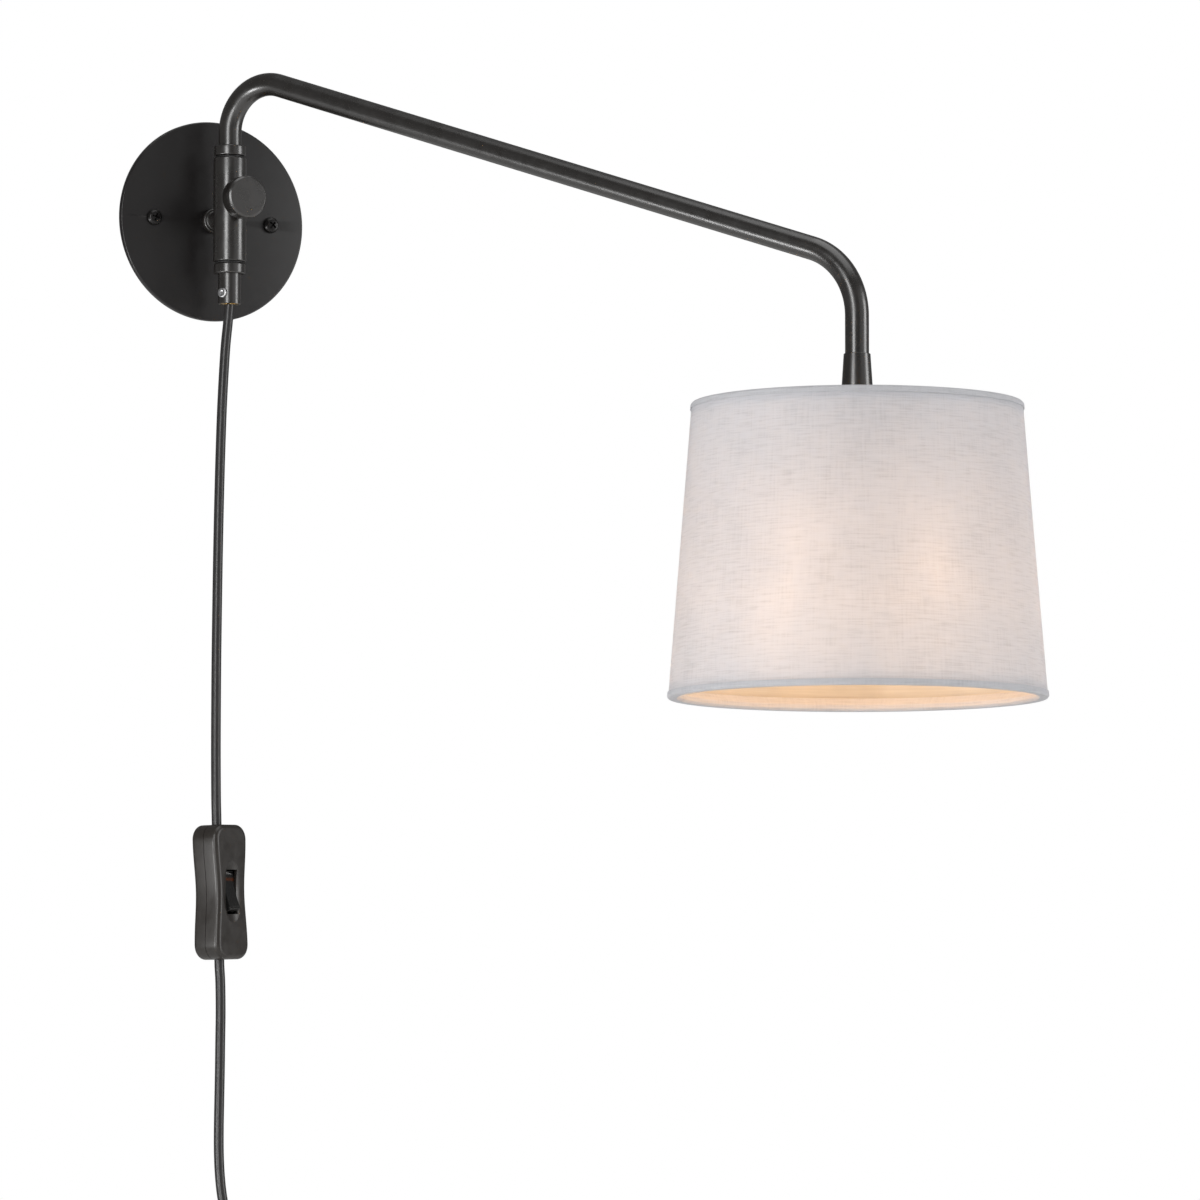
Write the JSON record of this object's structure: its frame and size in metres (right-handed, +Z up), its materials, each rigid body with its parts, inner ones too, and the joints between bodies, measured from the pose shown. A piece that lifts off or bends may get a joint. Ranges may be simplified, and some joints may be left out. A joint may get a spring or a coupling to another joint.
{
  "type": "swing arm wall light",
  "caption": "Wall light: round plate and swivel barrel carry a bent tube arm with a tapered drum shade; cord with inline rocker switch, tied coil and plug.",
  "frame": {"origin": "centre of the wall plate's back face, on the wall", "axes": "+Y into the wall, +Z up, +X to the right of a person facing the wall"},
  "size_m": [0.3702, 0.501, 0.7934],
  "materials": {
    "black_metal": "satin",
    "bronze_metal": "satin",
    "black_screw": "satin",
    "zinc_steel": "satin",
    "bright_steel": "polished",
    "brass": "satin",
    "nylon": "matte",
    "holder_plastic": "satin",
    "ceramic": "satin",
    "linen": "matte",
    "shade_liner": "satin",
    "white_wire": "satin",
    "opal_glass": "satin",
    "black_cord": "satin",
    "live_insulation": "satin",
    "neutral_insulation": "satin",
    "switch_plastic": "satin",
    "rocker_plastic": "gloss",
    "strap": "matte",
    "plug_plastic": "satin"
  },
  "bodies": {
    "wall_bracket": {"wall_plate": "black_metal", "wall_screw_left": "black_screw", "wall_screw_right": "black_screw", "standoff": "bronze_metal", "swivel_barrel": "bronze_metal", "upper_bush": "nylon", "lower_bush": "nylon", "cord_upper": "black_cord", "cord_lower": "black_cord", "cord_tail": "black_cord", "cord_coil": "black_cord", "cord_tie": "strap", "switch_front_shell": "switch_plastic", "switch_back_shell": "switch_plastic", "switch_screw_upper": "zinc_steel", "switch_screw_lower": "zinc_steel", "switch_terminal_in": "brass", "switch_terminal_out": "brass", "contact_leaf": "brass", "plug_body": "plug_plastic", "plug_strain_relief": "plug_plastic", "fuse_carrier": "plug_plastic", "fuse": "ceramic", "live_pin": "brass", "neutral_pin": "brass", "earth_pin": "plug_plastic"},
    "swing_arm": {"arm_tube": "bronze_metal", "top_collar": "bronze_metal", "top_collar_grub_screw": "zinc_steel", "bottom_collar": "bronze_metal", "bottom_collar_grub_screw": "zinc_steel", "inner_lead": "black_cord", "cord_grip": "nylon", "cord_grip_screw": "bright_steel", "lampholder_cover": "bronze_metal", "entry_nipple": "zinc_steel", "nipple_nut": "zinc_steel", "lampholder_cap": "holder_plastic", "lampholder_skirt": "holder_plastic", "holder_core": "ceramic", "centre_contact": "brass", "side_contact": "brass", "live_core": "live_insulation", "neutral_core": "neutral_insulation", "shade_ring": "holder_plastic", "shade_frame": "white_wire", "shade_foot_ring": "white_wire", "shade_fabric": "linen", "shade_liner": "shade_liner", "bulb_glass": "opal_glass", "bulb_cap": "bright_steel", "bulb_contact": "brass"},
    "clamp_slide": {"clamp_pad": "nylon"},
    "thumbscrew": {"thumbscrew": "bronze_metal"},
    "switch_rocker": {"rocker": "rocker_plastic"}
  },
  "joints": [
    {"name": "arm_swing", "type": "hinge", "parent": "wall_bracket", "child": "swing_arm", "pos_m": [0, -0.026, 0], "axis": [0, 0, 1], "range_deg": [-108, 48]},
    {"name": "clamp_travel", "type": "slide", "parent": "wall_bracket", "child": "clamp_slide", "axis": [0, -1, 0], "range_m": [0, 0.0014]},
    {"name": "thumbscrew_turn", "type": "hinge", "parent": "clamp_slide", "child": "thumbscrew", "pos_m": [0, -0.026, 0.0085], "axis": [0, -1, 0], "range_deg": [0, 722]},
    {"name": "rocker_tilt", "type": "hinge", "parent": "wall_bracket", "child": "switch_rocker", "pos_m": [-0.0013, -0.02558, -0.3763], "axis": [0.8981, 0.4381, 0.0384], "range_deg": [0, 24]}
  ],
  "couplings": [
    {"joint": "thumbscrew_turn", "follows": "clamp_travel", "rad_per_m": 8976}
  ]
}
